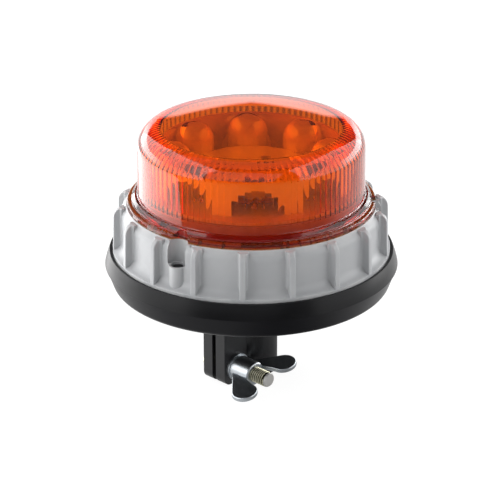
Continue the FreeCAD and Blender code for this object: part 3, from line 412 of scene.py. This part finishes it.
def threaded_bolt():
    """Hexagon bolt: head with turned corners, plain shank, thread swept along a helix, bevelled tip."""
    sizes = {
        "Radius": BOLT_RADIUS, "Pitch": THREAD_PITCH, "Thread": THREAD_LENGTH, "Tip": BOLT_TIP,
        "Seat": BOLT_SEAT, "Length": BOLT_LENGTH, "Flats": HEX_FLATS, "Head": HEX_HEIGHT,
    }
    tree, size = grow_tree("bolt_growth", sizes)

    def share(label, part):
        return calc(tree, "MULTIPLY", size[label], part)

    def moved(piece, height):
        lift = new_node(tree, "ShaderNodeCombineXYZ", None, Z=height).outputs[0]
        return new_node(tree, "GeometryNodeTransform", None, Geometry=piece.outputs[0], Translation=lift)

    def marked(piece, name, value):
        return new_node(tree, "GeometryNodeStoreNamedAttribute", {"data_type": "FLOAT", "domain": "POINT"},
                        Geometry=piece.outputs[0], Name=name, Value=value)

    def cylinder(sides, radius, bottom, length):
        piece = new_node(tree, "GeometryNodeMeshCylinder", None, Vertices=sides, Radius=radius, Depth=length)
        return moved(piece, calc(tree, "ADD", bottom, calc(tree, "MULTIPLY", length, 0.5)))

    def cone(bottom_radius, top_radius, bottom, length):
        piece = new_node(tree, "GeometryNodeMeshCone", None, Vertices=ROUND_SIDES,
                         Radius_Bottom=bottom_radius, Radius_Top=top_radius, Depth=length)
        return moved(piece, bottom)

    ridge = share("Pitch", 0.5)
    root = calc(tree, "SUBTRACT", size["Radius"], ridge)
    end = calc(tree, "ADD", size["Seat"], size["Length"])
    start = calc(tree, "SUBTRACT", end, size["Thread"])

    helix_length = calc(tree, "SUBTRACT", size["Thread"], calc(tree, "ADD", size["Tip"], ridge))
    helix = new_node(tree, "GeometryNodeCurveSpiral", None, Resolution=THREAD_STEPS,
                     Rotations=calc(tree, "DIVIDE", helix_length, size["Pitch"]),
                     Start_Radius=root, End_Radius=root, Height=helix_length)
    steady = new_node(tree, "GeometryNodeSetCurveNormal", {"mode": "Z_UP"}, Curve=helix.outputs[0])
    section = new_node(tree, "GeometryNodeCurvePrimitiveCircle", None, Resolution=4, Radius=ridge)
    thread = new_node(tree, "GeometryNodeCurveToMesh", None, Curve=steady.outputs[0],
                      Profile_Curve=section.outputs[0], Fill_Caps=True)
    core = cylinder(ROUND_SIDES, root, start, calc(tree, "SUBTRACT", size["Thread"], ridge))
    rolled = gathered(tree, "GeometryNodeJoinGeometry", 0, (moved(thread, start), core))
    # Depth below the crest, kept for the painted shade in the thread's roots
    distance = flattened(tree, new_node(tree, "GeometryNodeInputPosition").outputs[0])[1]
    depth = calc(tree, "DIVIDE", calc(tree, "SUBTRACT", size["Radius"], distance), ridge)
    rolled = marked(rolled, "thread_root_shade", depth)

    tip = cone(share("Radius", SHANK_SHARE), share("Radius", TIP_SHARE),
               calc(tree, "SUBTRACT", end, size["Tip"]), size["Tip"])
    tip = marked(tip, "sheared_tip", 1.0)
    shank = cylinder(ROUND_SIDES, share("Radius", SHANK_SHARE), size["Seat"],
                     calc(tree, "SUBTRACT", start, size["Seat"]))

    face = calc(tree, "SUBTRACT", size["Seat"], size["Head"])
    prism = cylinder(6, calc(tree, "DIVIDE", size["Flats"], math.sqrt(3)), face, size["Head"])
    bevel = cone(share("Flats", BEVEL_FACE_SHARE), share("Flats", BEVEL_SEAT_SHARE), face, size["Head"])
    head = gathered(tree, "GeometryNodeMeshBoolean", "Mesh 2", (prism, bevel),
                    {"operation": "INTERSECT", "solver": "MANIFOLD"})

    whole = gathered(tree, "GeometryNodeJoinGeometry", 0, (rolled, tip, shank, head))
    close_tree(tree, whole.outputs[0], FINISHES["bolt_zinc"])
    piece = grown(tree, "threaded_bolt", sizes, along_bolt())
    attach(piece, "beacon")
    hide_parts("clamp_bolt")


def coiled_spring():
    """Contact spring swept along a helix, between the plunger and the live terminal."""
    bottom, top = (corner[2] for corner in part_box("contact_spring"))
    sizes = {"Radius": SPRING_RADIUS, "Wire": SPRING_WIRE / 2, "Turns": SPRING_TURNS,
             "Height": top - bottom - SPRING_WIRE}
    tree, size = grow_tree("spring_growth", sizes)
    helix = new_node(tree, "GeometryNodeCurveSpiral", None, Resolution=SPRING_STEPS, Rotations=size["Turns"],
                     Start_Radius=size["Radius"], End_Radius=size["Radius"], Height=size["Height"])
    section = new_node(tree, "GeometryNodeCurvePrimitiveCircle", None, Resolution=WIRE_SIDES,
                       Radius=size["Wire"])
    coil = new_node(tree, "GeometryNodeCurveToMesh", None, Curve=helix.outputs[0],
                    Profile_Curve=section.outputs[0], Fill_Caps=True)
    close_tree(tree, coil.outputs[0], FINISHES["spring_steel"])
    piece = grown(tree, "coiled_spring", sizes, Matrix.Translation((0, 0, bottom + SPRING_WIRE / 2)))
    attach(piece, "beacon")
    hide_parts("contact_spring")
    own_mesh(piece)


def softbox(name, place, target, width, height, power):
    """Rectangular studio lamp that faces a point."""
    lamp = bpy.data.lights.new(name, "AREA")
    lamp.shape = "RECTANGLE"
    lamp.size = width
    lamp.size_y = height
    lamp.energy = power
    holder = bpy.data.objects.new(name, lamp)
    holder.location = place
    holder.rotation_mode = "QUATERNION"
    holder.rotation_quaternion = (Vector(target) - Vector(place)).to_track_quat("-Z", "Y")
    bpy.context.scene.collection.objects.link(holder)


def dim_room():
    """Nearly dark room with a pale band low behind the beacon, brighter and higher towards the sides."""
    world = bpy.data.worlds.new("dim_room")
    bpy.context.scene.world = world
    world.use_nodes = True
    tree = world.node_tree
    tree.nodes.clear()
    way = new_node(tree, "ShaderNodeTexCoord").outputs["Generated"]
    parts = new_node(tree, "ShaderNodeSeparateXYZ", None, Vector=way).outputs
    aside = calc(tree, "ABSOLUTE", parts["X"])
    edge = spread(tree, aside, 0.15, 0.24, start=0.0, end=0.1)
    low = spread(tree, calc(tree, "SUBTRACT", parts["Z"], edge), 1, 0, start=0.0, end=0.03)
    behind = spread(tree, parts["Y"], 0, 1, start=0.1, end=0.4)
    pale = blend(tree, spread(tree, aside, 0, 1, start=0.2, end=0.4), grey(0.38), grey(1.0))
    tone = blend(tree, calc(tree, "MULTIPLY", low, behind), rgb(0.0175, 0.0175, 0.018), pale)
    sky = new_node(tree, "ShaderNodeBackground", None, Color=tone, Strength=4.0)
    new_node(tree, "ShaderNodeOutputWorld", None, Surface=sky.outputs[0])


def mirrored_floor(tree):
    """Painted brightness of the floor in mirrors: dim in front, a painted shadow right of the stem, and pale
    behind.
    """
    place = new_node(tree, "ShaderNodeTexCoord").outputs["Object"]
    parts = new_node(tree, "ShaderNodeSeparateXYZ", None, Vector=place).outputs
    aside = calc(tree, "ABSOLUTE", parts["X"])
    middle = spread(tree, parts["Y"], 0.12, 0.9, start=-0.29, end=-0.16, curve="SMOOTHSTEP")
    beside = spread(tree, parts["Y"], 0.1, 1.0, start=-0.15, end=0.1, curve="SMOOTHSTEP")
    # painted shadow: in mirrors the floor darkens right of the stem, where the disc's shadow would fall
    into_shade = spread(tree, parts["X"], 1.0, 0.2, start=-0.025, end=0.015)
    out_of_shade = spread(tree, parts["X"], 0.0, 0.8, start=0.05, end=0.1)
    middle = calc(tree, "MULTIPLY", middle, calc(tree, "ADD", into_shade, out_of_shade))
    return blend(tree, spread(tree, aside, 0, 1, start=0.14, end=0.22), middle, beside)


def floor_finish():
    """Plain pale floor, which camera and glass see as a white ground that keeps the shadow, and mirrors see
    with painted brightness and a painted shadow.
    """
    material = bpy.data.materials.new("pale_floor")
    material.use_nodes = True
    tree = material.node_tree
    tree.nodes.clear()
    rays = new_node(tree, "ShaderNodeLightPath").outputs
    seen = calc(tree, "MAXIMUM", rays["Is Camera Ray"], rays["Is Glossy Ray"])
    seen = calc(tree, "MAXIMUM", seen, rays["Is Transmission Ray"])
    plain = new_node(tree, "ShaderNodeBsdfDiffuse", None, Color=grey(0.8))
    shadowed = new_node(tree, "ShaderNodeBsdfDiffuse", None, Color=grey(0.2))
    # painted reflection: glossy rays see the floor's painted brightness in place of the plain glow
    glow = blend(tree, rays["Is Glossy Ray"], grey(0.9), mirrored_floor(tree))
    bright = new_node(tree, "ShaderNodeEmission", None, Color=grey(1.0), Strength=glow)
    white = new_node(tree, "ShaderNodeAddShader", None, i0=shadowed.outputs[0], i1=bright.outputs[0])
    mixed = new_node(tree, "ShaderNodeMixShader", None, i0=seen, i1=plain.outputs[0], i2=white.outputs[0])
    new_node(tree, "ShaderNodeOutputMaterial", None, Surface=mixed.outputs[0])
    return material


def pale_floor():
    """Wide flat floor."""
    signs = ((-1, -1), (1, -1), (1, 1), (-1, 1))
    corners = [(x * FLOOR_REACH, y * FLOOR_REACH, FLOOR_LEVEL) for x, y in signs]
    mesh = bpy.data.meshes.new("pale_floor")
    mesh.from_pydata(corners, [], [(0, 1, 2, 3)])
    mesh.materials.append(floor_finish())
    floor = bpy.data.objects.new("pale_floor", mesh)
    bpy.context.scene.collection.objects.link(floor)


def photographed_view():
    """Camera at the photograph's angle and distance."""
    data = bpy.data.cameras.new("photographed_view")
    data.lens = CAMERA_LENS
    data.sensor_width = CAMERA_SENSOR
    data.sensor_fit = "HORIZONTAL"
    data.shift_x, data.shift_y = CAMERA_SHIFT
    data.clip_start, data.clip_end = CAMERA_RANGE
    camera = bpy.data.objects.new("photographed_view", data)
    back = Vector((0, -math.cos(CAMERA_ELEVATION), math.sin(CAMERA_ELEVATION)))
    camera.location = CAMERA_LOOK + back * CAMERA_DISTANCE
    camera.rotation_mode = "QUATERNION"
    camera.rotation_quaternion = (-back).to_track_quat("-Z", "Y")
    bpy.context.scene.collection.objects.link(camera)
    bpy.context.scene.camera = camera


threaded_bolt()
coiled_spring()
for name, settings in LAMPS.items():
    softbox(name, *settings)
dim_room()
pale_floor()
photographed_view()
bpy.context.scene.view_settings.view_transform = "Standard"
